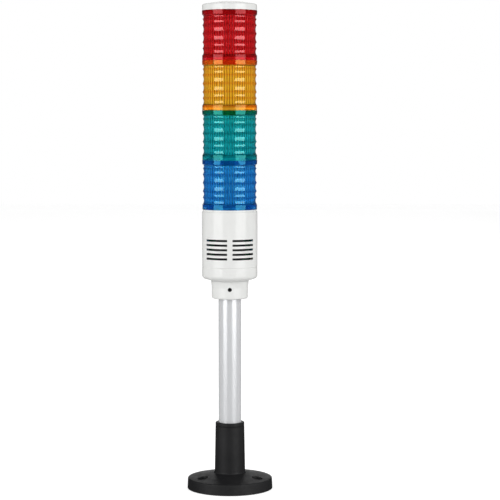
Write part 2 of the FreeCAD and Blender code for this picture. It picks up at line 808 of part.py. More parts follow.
def make_contact_cap(label, height):
    """Round insulator that sits on a board's top edge and carries the contact pads."""
    cap = body(label, height)
    disc = sketch(cap, "disc_circle", "XY_Plane", height="contact_cap_top - contact_cap_height")
    circle(disc, "0", "0", "contact_cap_diameter")
    pad(cap, "disc", disc, "contact_cap_height")
    slot = sketch(cap, "slot_plan", "XY_Plane", height="contact_cap_top - contact_cap_height")
    half_slot = "(board_thickness / 2 + board_clearance)"
    rectangle(slot, "-led_board_width / 2 - board_clearance", "led_board_width / 2 + board_clearance",
              "-" + half_slot, half_slot)
    pocket(cap, "board_slot", slot, "contact_cap_height / 2")
    return cap


def make_pads(label, height):
    """Curved copper pads that the pins of the next tier slide along as it twists."""
    pads = body(label, height)
    section = sketch(pads, "section", "XZ_Plane", turn=90 - value("pad_angle / 4"))
    rectangle(section, "pin_circle_diameter / 2 - pad_width / 2",
              "pin_circle_diameter / 2 + pad_width / 2",
              "contact_cap_top", "contact_cap_top + pad_thickness")
    first_pad = revolve(pads, "pad", section, "pad_angle")
    around(pads, "pads", [first_pad], "pad_count")
    return pads


def make_tier(colour, height):
    """One lamp tier, from its spring pins to the pads that feed the tier above."""
    make_lens(colour + "_lens", height)
    make_carrier(colour + "_carrier", height)
    make_board(colour + "_led_board", height, "led_board_width", "board_seat - carrier_drop",
               "contact_cap_top - contact_cap_height / 2")
    make_leds(colour + "_leds", height)
    make_pins(colour + "_contact_pins", height)
    make_contact_cap(colour + "_contact_cap", height)
    make_pads(colour + "_contact_pads", height)
    make_seal(colour + "_seal", "%s + tier_pitch - socket_depth" % height)


def make_control_board():
    """Upright board that stands on the pole sleeve, in the rails of the bottom cover."""
    low = "neck_socket_depth + sleeve_cap"
    high = "cover_height + housing_height + contact_cap_top - tier_pitch - contact_cap_height / 2"
    board = body("control_board", NECK_Z)
    face = sketch(board, "outline", "XZ_Plane", height="-board_thickness / 2")
    outline(face, [
        ("-control_board_width / 2", low),
        ("control_board_width / 2", low),
        ("control_board_width / 2", high + " - board_shoulder"),
        ("led_board_width / 2", high + " - board_shoulder"),
        ("led_board_width / 2", high),
        ("-led_board_width / 2", high),
        ("-led_board_width / 2", high + " - board_shoulder"),
        ("-control_board_width / 2", high + " - board_shoulder"),
    ])
    pad(board, "board", face, "board_thickness")
    return board


def make_driver_components():
    """Capacitors, relay and driver chip soldered to the back of the control board.

    The chip keeps its distance below the contact cap, the others theirs above the seam.
    """
    parts = body("driver_components", "%s + part_height" % SEAM_Z)
    back = "-board_thickness / 2"
    cans = sketch(parts, "can_circles", "XZ_Plane", height=back)
    for side in ("-", ""):
        circle(cans, side + "capacitor_diameter", "0", "capacitor_diameter")
    pad(parts, "capacitors", cans, "capacitor_length", reverse=True)
    relay = sketch(parts, "relay_outline", "XZ_Plane", height=back)
    rectangle(relay, "-relay_width / 2", "relay_width / 2",
              "capacitor_diameter", "capacitor_diameter + relay_height")
    pad(parts, "relay", relay, "relay_depth", reverse=True)
    chip = sketch(parts, "chip_outline", "XZ_Plane", height=back)
    cap_low = "(housing_height + contact_cap_top - tier_pitch - contact_cap_height)"
    chip_high = cap_low + " - chip_gap - part_height"
    rectangle(chip, "-chip_width / 2", "chip_width / 2", chip_high + " - chip_height", chip_high)
    pad(parts, "chip", chip, "chip_depth", reverse=True)
    return parts


def make_terminal_block():
    """Block on the back of the control board that takes the wires coming up the pole."""
    block = body("terminal_block", "%s + neck_socket_depth + sleeve_cap" % NECK_Z)
    face = sketch(block, "face", "XZ_Plane", height="-board_thickness / 2")
    rectangle(face, "-terminal_width / 2", "terminal_width / 2",
              "terminal_gap", "terminal_gap + terminal_height")
    pad(block, "block", face, "terminal_depth", reverse=True)
    hole = sketch(block, "wire_circle", "XY_Plane", height="terminal_gap")
    pitch = "terminal_width / terminal_ways"
    circle(hole, "(%s - terminal_width) / 2" % pitch, "(board_thickness + terminal_depth) / 2",
           "terminal_hole")
    first_hole = pocket(block, "wire_hole", hole, "terminal_height / 2")
    row(block, "wire_holes", [first_hole], "X_Axis", pitch, "terminal_ways")
    return block


def make_sounder():
    """Round sounder on the front of the control board, behind the sound slots."""
    middle = "slot_low_height + slot_pitch * (slot_rows - 1) / 2"
    sounder = body("sounder", "%s + %s" % (SEAM_Z, middle))
    can = sketch(sounder, "can_circle", "XZ_Plane", height="board_thickness / 2")
    circle(can, "0", "0", "sounder_diameter")
    pad(sounder, "can", can, "sounder_depth")
    front = "board_thickness / 2 + sounder_depth"
    dish = sketch(sounder, "dish_circle", "XZ_Plane", height=front)
    circle(dish, "0", "0", "sounder_diameter - 2 * sounder_rim")
    pocket(sounder, "dish", dish, "sounder_rim", up=False)
    port = sketch(sounder, "port_circle", "XZ_Plane", height=front)
    circle(port, "0", "0", "sounder_port_diameter")
    pocket(sounder, "port", port, "sounder_rim + sounder_port_depth", up=False)
    return sounder


def make_top_cap():
    """White domed cap with a spigot that locks into the top tier."""
    cap = body("top_cap", "%s + tier_pitch * %d" % (STACK_Z, len(TIERS)))
    side_r = "lens_diameter / 2"
    inner_r = SPIGOT_R + " - spigot_wall"
    section = sketch(cap, "section", "XZ_Plane")
    outline(section, [
        (inner_r, "-spigot_length"),
        (SPIGOT_R, "-spigot_length"),
        (SPIGOT_R, "0"),
        (side_r, "0"),
        (side_r, "cap_side", "cap_round"),
        ("cap_crown_diameter / 2", "cap_height", "cap_crown_round"),
        ("0", "cap_height"),
        ("0", "cap_height - cap_wall"),
        ("cap_crown_diameter / 2", "cap_height - cap_wall"),
        (inner_r, "cap_side - cap_wall"),
    ])
    revolve(cap, "turned", section)
    add_lugs(cap)
    return cap


def check(parts):
    """Stops the build if an object failed or a sub-part has no sound shape."""
    for item in doc.Objects:
        if "Invalid" in item.State or "Error" in item.State:
            raise RuntimeError("%s: %s" % (item.Name, item.getStatusString()))
    for item in parts:
        if item.Shape.isNull() or not item.Shape.isValid() or not item.Shape.Solids:
            raise RuntimeError("%s has no sound shape" % item.Label)


make_gasket()
make_pole_base()
make_pole()
make_set_screw("base_set_screw", "collar_height - collar_screw_drop", "collar_screw_length", False)
make_set_screw("neck_set_screw", "%s + neck_screw_height" % NECK_Z, "neck_screw_length", True)
make_bottom_cover()
make_housing_screws()
make_housing()
make_control_board()
make_driver_components()
make_terminal_block()
make_sounder()
make_contact_cap("housing_contact_cap", SOCKET_Z)
make_pads("housing_contact_pads", SOCKET_Z)
make_seal("housing_seal", "%s - socket_depth" % STACK_Z)
for number, colour in enumerate(TIERS):
    make_tier(colour, "(%s + tier_pitch * %d)" % (STACK_Z, number))
make_top_cap()

doc.recompute()
subparts = [item for item in doc.Objects if item.TypeId == "PartDesign::Body"]
check(subparts)
os.makedirs("parts", exist_ok=True)
for item in subparts:
    item.Shape.exportStep("parts/%s.step" % item.Label)
print("%d sub-parts" % len(subparts))
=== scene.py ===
# %% [markdown]
# # A stack light
# A stack light stands on a machine and shows its state from across the hall. Four coloured
# tiers twist onto a buzzer housing, and a pole lifts the whole stack above its round base.
# The construction model gives every size, so it could be rendered as it is. This lesson
# dresses it instead: each step models one piece or mixes one finish. Sizes are written in
# millimetres, as a maker reads them, and one factor turns them into metres.

import math

import bpy
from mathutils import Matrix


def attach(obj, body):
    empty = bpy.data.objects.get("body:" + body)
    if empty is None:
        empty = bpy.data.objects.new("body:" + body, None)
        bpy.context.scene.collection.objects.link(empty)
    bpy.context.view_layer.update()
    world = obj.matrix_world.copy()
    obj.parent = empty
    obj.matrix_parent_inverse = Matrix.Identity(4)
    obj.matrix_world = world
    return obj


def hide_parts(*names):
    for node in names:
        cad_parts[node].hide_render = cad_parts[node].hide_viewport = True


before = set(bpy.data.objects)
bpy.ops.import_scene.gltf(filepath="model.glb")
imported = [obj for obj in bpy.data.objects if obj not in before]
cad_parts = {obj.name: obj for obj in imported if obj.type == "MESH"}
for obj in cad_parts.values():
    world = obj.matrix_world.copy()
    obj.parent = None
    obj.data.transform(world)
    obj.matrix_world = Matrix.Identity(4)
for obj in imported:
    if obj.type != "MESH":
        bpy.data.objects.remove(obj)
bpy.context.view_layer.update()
MM = 0.001

# %% [markdown]
# ## Camera
# The light is tall and thin. A short lens close by would make its tiers converge, so a long
# lens looks at it from 1.8 m, a little above its middle. The camera is turned by a touch, so
# that the pole stands left of the middle.

# %% Place the camera
CAMERA_DISTANCE = 1.8
CAMERA_HEIGHT = 0.378
CAMERA_FALL = 4.24
CAMERA_TURN = -0.654
CAMERA_LENS = 127.85
SENSOR_WIDTH = 36

bpy.ops.object.select_all(action="DESELECT")
bpy.ops.object.camera_add(
    location=(0, -CAMERA_DISTANCE, CAMERA_HEIGHT),
    rotation=(math.radians(90 - CAMERA_FALL), 0, math.radians(CAMERA_TURN)),
)
camera = bpy.context.object
camera.data.sensor_width = SENSOR_WIDTH
camera.data.lens = CAMERA_LENS
bpy.context.scene.camera = camera
print("camera at", CAMERA_DISTANCE, "m with a", CAMERA_LENS, "mm lens")

# %% [markdown]
# ## Node helpers
# Every finish below is a small tree of nodes. Placing a node, setting it and linking it by
# hand takes four lines or more, so short helpers do each in one.

# %% Write the node helpers


def new_finish(name, values):
    """A material whose even values are set straight on its Principled shader."""
    finish = bpy.data.materials.new(name)
    finish.use_nodes = True
    for socket, amount in values.items():
        shader_of(finish).inputs[socket].default_value = amount
    return finish


def shader_of(finish):
    """The Principled shader of a finish."""
    return finish.node_tree.nodes["Principled BSDF"]


def add(finish, kind, values=None, **settings):
    """Adds one node to a finish, with its settings and the values of its sockets."""
    node = finish.node_tree.nodes.new(kind)
    for setting, choice in settings.items():
        setattr(node, setting, choice)
    for socket, amount in (values or {}).items():
        node.inputs[socket].default_value = amount
    return node


def join(finish, source, output, target, socket):
    """Links one node's output to another node's socket."""
    finish.node_tree.links.new(source.outputs[output], target.inputs[socket])


print("node helpers written")

# %% [markdown]
# ## Where the camera looks
# The floor and the sky of a studio look brighter than they light. In a scene the two can be
# told apart by the kind of ray. This helper finds the rays that the camera looks along,
# whether straight, in a mirror or through clear plastic.

# %% Find what the camera sees


def where_seen(finish):
    """A node that gives 1 to rays that the camera sees by, and 0 to rays that light."""
    ray = add(finish, "ShaderNodeLightPath")
    mirrored = add(finish, "ShaderNodeMath", operation="MAXIMUM")
    seen = add(finish, "ShaderNodeMath", operation="MAXIMUM")
    join(finish, ray, "Is Camera Ray", mirrored, 0)
    join(finish, ray, "Is Glossy Ray", mirrored, 1)
    join(finish, mirrored, 0, seen, 0)
    join(finish, ray, "Is Transmission Ray", seen, 1)
    return seen


print("rays that see are told from rays that light")

# %% [markdown]
# ## Floor
# The light stands on a plain pale floor, which could be one diffuse plane. That alone turns
# grey away from the lamps, so a little even light is added where the camera looks. It then
# reads as white paper and keeps its shadow. It is kept out of the gloss, because the pole
# should mirror the soft boxes down to their foot.

# %% Lay the floor
FLOOR_SIZE = 12.0
PAPER_LIFT = 0.66

bpy.ops.mesh.primitive_plane_add(size=FLOOR_SIZE, location=(0, 0, 0))
floor = bpy.context.object
floor.name = "floor"
floor.visible_glossy = False

paper = new_finish("white_paper", {
    "Base Color": (0.8, 0.8, 0.8, 1), "Roughness": 0.9, "Specular IOR Level": 0.1})
lift = add(paper, "ShaderNodeEmission", {"Color": (1, 1, 1, 1)})
amount = add(paper, "ShaderNodeMath", {1: PAPER_LIFT}, operation="MULTIPLY")
both = add(paper, "ShaderNodeAddShader")
join(paper, where_seen(paper), 0, amount, 0)
join(paper, amount, 0, lift, "Strength")
join(paper, shader_of(paper), 0, both, 0)
join(paper, lift, 0, both, 1)
join(paper, both, 0, paper.node_tree.nodes["Material Output"], "Surface")
floor.data.materials.append(paper)
print("floor", FLOOR_SIZE, "m")

# %% [markdown]
# ## Sky
# A white sky could light everything, but then nothing would have a bright side. Here it is
# white only where it is seen, mirrored or looked at through the plastic. To matt surfaces it
# gives a weak fill, and the lamps do the rest.

# %% Spread the sky
FILL = 0.34

scene = bpy.context.scene
scene.view_settings.view_transform = "Standard"
sky = bpy.data.worlds.new("sky")
scene.world = sky
sky.use_nodes = True
background = sky.node_tree.nodes["Background"]
background.inputs["Color"].default_value = (1, 1, 1, 1)
level = add(sky, "ShaderNodeMapRange", {"To Min": FILL, "To Max": 1.0})
join(sky, where_seen(sky), 0, level, "Value")
join(sky, level, 0, background, "Strength")
print("sky fills at", FILL)

# %% [markdown]
# ## Lamps
# Two tall soft boxes stand left and right of the camera and draw the pair of bright bars
# down every ring of the tiers. Bare lamps would draw thin lines there. Two weak side lights
# even out the flanks of the housing and are kept out of the gloss. Each is placed by the
# angles it fills as seen from the light, because those angles set where a bar is drawn.

# %% Light the room
LAMP_DISTANCE = 4.0
LAMP_AIM = 0.3
SOFT_BOX_LIGHT = 3.0
SOFT_BOX_RISE = 13.0
SOFT_BOX_HEIGHT = 41.0
SIDE_LIGHT = 1.3
SIDE_RISE = 10.0
SIDE_SPREAD = 50.0
SOFT_BOXES = {"left_soft_box": (-50.5, 43.0), "right_soft_box": (47.0, 46.0)}
SIDE_LIGHTS = {"left_side_light": -108.0, "right_side_light": 108.0}


def soft_box(name, azimuth, spread, rise, height_spread, radiance):
    """A lamp that fills the given angles as seen from the light, aimed at its middle."""
    side = math.radians(azimuth)
    up = math.radians(rise)
    away = LAMP_DISTANCE * math.cos(up)
    bpy.ops.object.light_add(
        type="AREA",
        location=(away * math.sin(side), -away * math.cos(side),
                  LAMP_AIM + LAMP_DISTANCE * math.sin(up)),
        rotation=(math.radians(90) - up, 0, side),
    )
    lamp = bpy.context.object
    lamp.name = name
    lamp.data.shape = "RECTANGLE"
    lamp.data.size = 2 * LAMP_DISTANCE * math.tan(math.radians(spread / 2))
    lamp.data.size_y = 2 * LAMP_DISTANCE * math.tan(math.radians(height_spread / 2))
    lamp.data.energy = radiance * math.pi * lamp.data.size * lamp.data.size_y
    print(name, round(lamp.data.size, 2), "by", round(lamp.data.size_y, 2), "m")
    return lamp


for name, (azimuth, spread) in SOFT_BOXES.items():
    soft_box(name, azimuth, spread, SOFT_BOX_RISE, SOFT_BOX_HEIGHT, SOFT_BOX_LIGHT)
for name, azimuth in SIDE_LIGHTS.items():
    side_lamp = soft_box(name, azimuth, SIDE_SPREAD, SIDE_RISE, SIDE_SPREAD, SIDE_LIGHT)
    side_lamp.visible_glossy = False

# %% [markdown]
# ## Grey cards
# Shiny plastic mirrors the whole room, and a white room would wash its colour out. A studio
# stands grey cards round it, one by one. One closed drum does the same here, with a gap at
# the back for the white backdrop, so that only the soft boxes and that backdrop show in the
# gloss. Mirrored rays alone see the drum, as if the cards stood out of view.

# %% Stand the grey cards
CARD_REACH = 5.5
CARD_SIDES = 72
CARD_LOW, CARD_HIGH = -4.0, 7.0
CARD_GLOW = 0.03
BACK_GAP = 9.0

bpy.ops.object.select_all(action="DESELECT")
bpy.ops.mesh.primitive_cylinder_add(
    vertices=CARD_SIDES, radius=CARD_REACH, depth=CARD_HIGH - CARD_LOW,
    location=(0, 0, (CARD_HIGH + CARD_LOW) / 2))
cards = bpy.context.object
cards.name = "grey_cards"
bpy.ops.object.transform_apply(location=True, rotation=True, scale=True)
bpy.ops.object.mode_set(mode="EDIT")
bpy.ops.mesh.select_mode(type="FACE")
bpy.ops.mesh.select_all(action="DESELECT")
bpy.ops.object.mode_set(mode="OBJECT")
for face in cards.data.polygons:
    x, y, _ = face.center
    upright = abs(face.normal.z) < 0.5
    behind = abs(math.degrees(math.atan2(x, y))) < BACK_GAP
    face.select = upright and behind
bpy.ops.object.mode_set(mode="EDIT")
bpy.ops.mesh.delete(type="FACE")
bpy.ops.object.mode_set(mode="OBJECT")
cards.data.materials.append(new_finish("grey_cloth", {
    "Base Color": (0.02, 0.02, 0.02, 1), "Roughness": 1.0, "Specular IOR Level": 0.0,
    "Emission Color": (1, 1, 1, 1), "Emission Strength": CARD_GLOW}))
cards.visible_camera = False
cards.visible_diffuse = False
cards.visible_shadow = False
cards.visible_transmission = False
print("grey cards", len(cards.data.polygons), "faces")

# %% [markdown]
# ## Turned pieces
# The lenses are round, so they could be spun from a section. Here one circle is drawn
# upwards from point to point of the outline, the way a turner reads a section. Extruding and
# resizing the ring about the axis keeps every corner on a true circle, and its corners stay
# in step from ring to ring, which the flutes need later.

# %% Turn an outline


def start_clean():
    """Leaves edit mode and deselects everything before the next piece."""
    if bpy.context.object and bpy.context.object.mode == "EDIT":
        bpy.ops.object.mode_set(mode="OBJECT")
    bpy.ops.object.select_all(action="DESELECT")


def turn(name, outline, corners):
    """Draws a ring of corners along an outline of (radius, height) in millimetres."""
    start_clean()
    radius, height = outline[0]
    bpy.ops.mesh.primitive_circle_add(
        vertices=corners, radius=radius * MM, location=(0, 0, height * MM))
    piece = bpy.context.object
    piece.name = name
    piece.data.name = name
    bpy.ops.object.mode_set(mode="EDIT")
    bpy.ops.mesh.select_all(action="SELECT")
    for next_radius, next_height in outline[1:]:
        bpy.ops.mesh.extrude_edges_move(
            TRANSFORM_OT_translate={"value": (0, 0, (next_height - height) * MM)})
        if next_radius != radius:
            push_out(next_radius / radius)
        radius, height = next_radius, next_height
    return piece


def push_out(factor):
    """Moves the selected corners away from the axis."""
    bpy.ops.transform.resize(value=(factor, factor, 1), center_override=(0, 0, 0))


print("turning helpers written")

# %% [markdown]
# ## Closing and picking
# A moulding is one closed skin with crisp edges. After each change the doubled corners are
# merged, the faces turned outwards and all but the sharp edges smoothed. Corners to be moved
# could be clicked one by one. Here a test of radius, angle and height picks them, which
# gives the same ones every time.

# %% Close a piece and pick its corners
MERGE_DISTANCE = 0.001


def close_up(piece, smooth_angle):
    """Merges doubled corners, turns the faces outwards and smooths the blunt edges."""
    bpy.ops.mesh.select_all(action="SELECT")
    bpy.ops.mesh.remove_doubles(threshold=MERGE_DISTANCE * MM)
    bpy.ops.mesh.normals_make_consistent(inside=False)
    bpy.ops.object.mode_set(mode="OBJECT")
    bpy.ops.object.transform_apply(location=True, rotation=True, scale=True)
    bpy.ops.object.shade_smooth_by_angle(angle=math.radians(smooth_angle))
    print(piece.name, len(piece.data.vertices), "corners", len(piece.data.polygons), "faces")


def pick_corners(piece, test):
    """Selects only the corners whose radius, angle and height pass, in mm and degrees."""
    bpy.ops.object.mode_set(mode="EDIT")
    bpy.ops.mesh.select_all(action="DESELECT")
    bpy.ops.mesh.select_mode(type="VERT")
    bpy.ops.object.mode_set(mode="OBJECT")
    for corner in piece.data.vertices:
        x, y, z = piece.matrix_world @ corner.co
        angle = math.degrees(math.atan2(y, x)) % 360
        corner.select = test(math.hypot(x, y) / MM, angle, z / MM)
    bpy.ops.object.mode_set(mode="EDIT")


print("corners closer than", MERGE_DISTANCE, "mm are merged")

# %% [markdown]
# ## Lens outline
# Each tier is a clear moulding. Outside it carries six hollow scallops between sharp crests,
# which spread the lamp's light up and down. Flat facets would be enough for the shape, but a
# soft box needs an arc to draw its bright bar, so each scallop is one. A smooth band closes
# the tier at either end, a spigot hangs below and a socket opens above.

# %% Draw the scallops
CREST_R = 27.4
VALLEY_R = 26.3
CREST_Z = [5.3, 12.2, 18.3, 26.9, 35.5, 41.6, 45.5]
ARC_STEPS = 10


def scallop(low, high):
    """Points of one hollow arc between two crests, without its last point."""
    half = (high - low) / 2
    depth = CREST_R - VALLEY_R
    bend = (half * half + depth * depth) / (2 * depth)
    points = []
    for step in range(ARC_STEPS):
        along = (2 * step / ARC_STEPS - 1) * half
        sag = math.sqrt(bend * bend - along * along) - (bend - depth)
        points.append((CREST_R - sag, low + half + along))
    return points


scallops = []
for low, high in zip(CREST_Z, CREST_Z[1:]):
    scallops += scallop(low, high)
print(len(CREST_Z) - 1, "scallops", len(scallops), "points")

# %% [markdown]
# ## The rest of the section
# The outline runs from the foot of the spigot up the outside, over the rim and down through
# the socket and the bore. A box modeller would cut the lock later with a boolean. Here the
# outline has a ring of corners just before and after each lug and channel, so that they can
# be pushed out of it with clean walls.

# %% Draw the lens outline
SPIGOT_R, SPIGOT_IN_R, SPIGOT_Z = 25.65, 24.1, -4.6
BAND_R, LOW_BAND_Z, HIGH_BAND_Z = 27.7, 5.3, 45.5
BAND_STEP = 0.1
RIM_R, RIM_Z = 27.95, 49.9
EDGE = 0.15
SOCKET_R = 25.75
BORE_R, LEDGE_Z = 24.3, 44.8
LUG_LOW, LUG_HIGH = -4.4, -2.8
LOCK_LOW, LOCK_HIGH = 45.45, 47.35
STEP = 0.06

spigot_outline = [
    (SPIGOT_IN_R, SPIGOT_Z), (SPIGOT_R, SPIGOT_Z),
    (SPIGOT_R, LUG_LOW - STEP), (SPIGOT_R, LUG_LOW),
    (SPIGOT_R, LUG_HIGH), (SPIGOT_R, LUG_HIGH + STEP), (SPIGOT_R, 0.0),
]
low_band_outline = [(BAND_R - EDGE, 0.0), (BAND_R, EDGE), (BAND_R, LOW_BAND_Z - BAND_STEP)]
rim_outline = [
    (CREST_R, HIGH_BAND_Z), (BAND_R, HIGH_BAND_Z + BAND_STEP),
    (RIM_R, RIM_Z - EDGE), (RIM_R - EDGE, RIM_Z), (SOCKET_R, RIM_Z),
]
inner_outline = [
    (SOCKET_R, LOCK_HIGH + STEP), (SOCKET_R, LOCK_HIGH),
    (SOCKET_R, LOCK_LOW), (SOCKET_R, LOCK_LOW - STEP),
    (SOCKET_R, LEDGE_Z), (BORE_R, LEDGE_Z),
    (BORE_R, LOW_BAND_Z + STEP), (BORE_R, LOW_BAND_Z),
    (SPIGOT_IN_R, LOW_BAND_Z / 2), (SPIGOT_IN_R, SPIGOT_Z),
]
lens_outline = spigot_outline + low_band_outline + scallops + rim_outline + inner_outline
print("lens outline", len(lens_outline), "points")

# %% [markdown]
# ## Lens blank
# The blank has no flutes or lugs yet. Its ring has six corners for each of the sixty flutes
# to come, so that every flute gets the same corners and none falls between two.

# %% Turn the lens blank
FLUTES = 60
CORNERS_PER_FLUTE = 6
BLANK_SMOOTH_ANGLE = 30
lens_pattern = turn("lens_pattern", lens_outline, FLUTES * CORNERS_PER_FLUTE)
close_up(lens_pattern, BLANK_SMOOTH_ANGLE)

# %% [markdown]
# ## Flutes
# Sixty upright flutes line the bore and break the lamp into a fine grid. A bump in the
# finish would look flat from the side, so they are shaped. The corners of the bore are
# picked by their place in each flute and pushed out, to a rounded rib with a sharp root.

# %% Press the flutes into the bore
FLUTE_DEPTH = 0.7
FLUTE_PROFILE = {0: 1.0, 1: 0.36, 2: 0.09, 4: 0.09, 5: 0.36}
NEAR = 0.01
corner_angle = 360 / (FLUTES * CORNERS_PER_FLUTE)
for phase, share in FLUTE_PROFILE.items():
    pick_corners(lens_pattern, lambda r, a, z: abs(r - BORE_R) < NEAR
                 and LOW_BAND_Z + STEP / 2 < z < LEDGE_Z + NEAR
                 and round(a / corner_angle) % CORNERS_PER_FLUTE == phase)
    push_out((BORE_R + FLUTE_DEPTH * share) / BORE_R)
print("flutes", FLUTES)

# %% [markdown]
# ## Twist lock
# Three lugs on the spigot drop into three upright slots in the socket below and turn along
# its channels. The slots and channels could be cut out, but the socket wall already has
# corners at their edges. So both lugs and channels are pushed out of the round walls.

# %% Raise the lugs and sink the lock channels
LUG_ANGLE, LUG_DEPTH = 8.0, 0.8
CHANNEL_DEPTH, CHANNEL_PLAY = 0.95, 1.0
TRAVEL = 18.0
LOCKS = 3
LOCK_START = 90.0
LOCK_SMOOTH_ANGLE = 28


def near_lock(angle, ahead, half):
    """True within half of a lock place that is moved ahead by some degrees."""
    apart = 360 / LOCKS
    return abs((angle - LOCK_START - ahead + apart / 2) % apart - apart / 2) <= half + NEAR


pick_corners(lens_pattern, lambda r, a, z: abs(r - SPIGOT_R) < NEAR
             and LUG_LOW - NEAR < z < LUG_HIGH + NEAR and near_lock(a, 0, LUG_ANGLE / 2))
push_out((SPIGOT_R + LUG_DEPTH) / SPIGOT_R)
pick_corners(lens_pattern, lambda r, a, z: abs(r - SOCKET_R) < NEAR
             and LOCK_LOW - NEAR < z < LOCK_HIGH + NEAR
             and near_lock(a, TRAVEL / 2, (LUG_ANGLE + TRAVEL) / 2 + CHANNEL_PLAY))
push_out((SOCKET_R + CHANNEL_DEPTH) / SOCKET_R)
pick_corners(lens_pattern, lambda r, a, z: abs(r - SOCKET_R) < NEAR
             and z > LOCK_HIGH and near_lock(a, TRAVEL, LUG_ANGLE / 2 + CHANNEL_PLAY))
push_out((SOCKET_R + CHANNEL_DEPTH) / SOCKET_R)
close_up(lens_pattern, LOCK_SMOOTH_ANGLE)

# %% [markdown]
# ## Unevenness
# No moulding has one even colour or gloss. Wear could be painted on by hand, but noise on
# the piece's own coordinates has no seam and turns with it. Noise hardly leaves the middle
# of its range, so only that part is spread over the two colours of a ramp. It is stretched
# where a grain runs one way.

# %% Let the colour wander
NOISE_LOW, NOISE_HIGH = 0.3, 0.7
GRAIN_DETAIL = 3.0
EVEN = (1, 1, 1)


def noise_on(finish, scale, detail, stretch):
    """Noise on the coordinates of the piece itself."""
    place = add(finish, "ShaderNodeTexCoord")
    mapping = add(finish, "ShaderNodeMapping", {"Scale": stretch})
    noise = add(finish, "ShaderNodeTexNoise", {"Scale": scale, "Detail": detail})
    join(finish, place, "Object", mapping, "Vector")
    join(finish, mapping, "Vector", noise, "Vector")
    return noise


def two_tones(finish, first, second, low=0.0, high=1.0):
    """A ramp from one colour to another that drives the shader's colour."""
    tones = add(finish, "ShaderNodeValToRGB")
    start, end = tones.color_ramp.elements
    start.position, end.position = low, high
    start.color, end.color = (*first, 1), (*second, 1)
    join(finish, tones, "Color", shader_of(finish), "Base Color")
    return tones


def mottle(finish, scale, first, second, stretch=EVEN):
    """Lets the colour wander between two close tones."""
    noise = noise_on(finish, scale, GRAIN_DETAIL, stretch)
    tones = two_tones(finish, first, second, NOISE_LOW, NOISE_HIGH)
    join(finish, noise, "Fac", tones, "Fac")


print("colours wander over the middle of the noise,", NOISE_LOW, "to", NOISE_HIGH)

# %% [markdown]
# ## Gloss and ripple
# Gloss gives a moulding away as plastic, and it is never quite even either. The same noise
# drives the roughness. Where light glances off, a bump at the scale of the mould's grain
# breaks it up, and real displacement would cost far more corners for no more to see.

# %% Let the gloss wander and ripple
RIPPLE_DETAIL = 2.0


def roughen(finish, scale, low, high, stretch=EVEN):
    """Lets the roughness wander between two values."""
    noise = noise_on(finish, scale, GRAIN_DETAIL, stretch)
    level = add(finish, "ShaderNodeMapRange", {
        "From Min": NOISE_LOW, "From Max": NOISE_HIGH, "To Min": low, "To Max": high})
    join(finish, noise, "Fac", level, "Value")
    join(finish, level, 0, shader_of(finish), "Roughness")


def ripple(finish, scale, strength, distance):
    """Raises a fine unevenness of the surface."""
    noise = noise_on(finish, scale, RIPPLE_DETAIL, EVEN)
    bump = add(finish, "ShaderNodeBump", {"Strength": strength, "Distance": distance})
    join(finish, noise, "Fac", bump, "Height")
    join(finish, bump, "Normal", shader_of(finish), "Normal")


print("helpers for gloss and ripple written")

# %% [markdown]
# ## Light through clear walls
# The tiers are moulded in clear tinted resin. Traced in full, lamp light that bends through
# two walls arrives as bright specks. So lamp light and scattered light go straight through a
# share of each wall and pick up its tint on the way, and the bore is lit as in clear
# plastic. What the camera sees through the walls still bends.

# %% Let the lamps through the walls


def let_light_in(finish, tint, share):
    """Lets a share of the lamps' and the scattered light straight through, tinted."""
    ray = add(finish, "ShaderNodeLightPath")
    either = add(finish, "ShaderNodeMath", operation="MAXIMUM")
    part = add(finish, "ShaderNodeMath", {1: share}, operation="MULTIPLY")
    straight = add(finish, "ShaderNodeBsdfTransparent", {"Color": (*tint, 1)})
    both = add(finish, "ShaderNodeMixShader")
    join(finish, ray, "Is Shadow Ray", either, 0)
    join(finish, ray, "Is Diffuse Ray", either, 1)
    join(finish, either, 0, part, 0)
    join(finish, part, 0, both, 0)
    join(finish, shader_of(finish), 0, both, 1)
    join(finish, straight, 0, both, 2)
    join(finish, both, 0, finish.node_tree.nodes["Material Output"], "Surface")


print("light goes straight through clear walls")

# %% [markdown]
# ## Outer wall
# The wall is thick at the crests and bands and thin in the hollows, and thick resin looks
# deeper. Its thickness can't be read from the mesh, but on a turned piece it goes with the
# distance from the axis, so that drives the tint. The deeper tint at the crests is also painted
# shade, which stands in for the light that the crests bend away. The coat on the hollows alone
# is a choice for the look and not a fact about the moulding. It brightens the bars that the
# soft boxes draw in them.

# %% Tint the outer wall by its thickness and paint shade at its crests
HOLLOW_POLISH = 0.8
DRIFT = 0.12
DRIFT_SCALE = 60.0


def wall_tint_and_crest_shade(finish, thin, thick):
    """Deepens the tint at the thick crests and bands, partly as painted shade at the crests,
    and polishes the thin hollows.
    """
    place = add(finish, "ShaderNodeTexCoord")
    flat = add(finish, "ShaderNodeVectorMath", {1: (1, 1, 0)}, operation="MULTIPLY")
    reach = add(finish, "ShaderNodeVectorMath", operation="LENGTH")
    share = add(finish, "ShaderNodeMapRange", {
        "From Min": VALLEY_R * MM, "From Max": CREST_R * MM})
    polish = add(finish, "ShaderNodeMapRange", {"To Min": HOLLOW_POLISH, "To Max": 0.0})
    noise = add(finish, "ShaderNodeTexNoise", {"Scale": DRIFT_SCALE, "Detail": GRAIN_DETAIL})
    drift = add(finish, "ShaderNodeMath", {1: DRIFT, 2: -DRIFT / 2}, operation="MULTIPLY_ADD")
    level = add(finish, "ShaderNodeMath", operation="ADD")
    tones = two_tones(finish, thin, thick)
    join(finish, place, "Object", flat, 0)
    join(finish, flat, 0, reach, 0)
    join(finish, reach, "Value", share, "Value")
    join(finish, share, 0, polish, "Value")
    join(finish, polish, 0, shader_of(finish), "Coat Weight")
    join(finish, place, "Object", noise, "Vector")
    join(finish, noise, "Fac", drift, 0)
    join(finish, share, 0, level, 0)
    join(finish, drift, 0, level, 1)
    join(finish, level, 0, tones, "Fac")


print("tint runs from", VALLEY_R, "to", CREST_R, "mm off the axis")
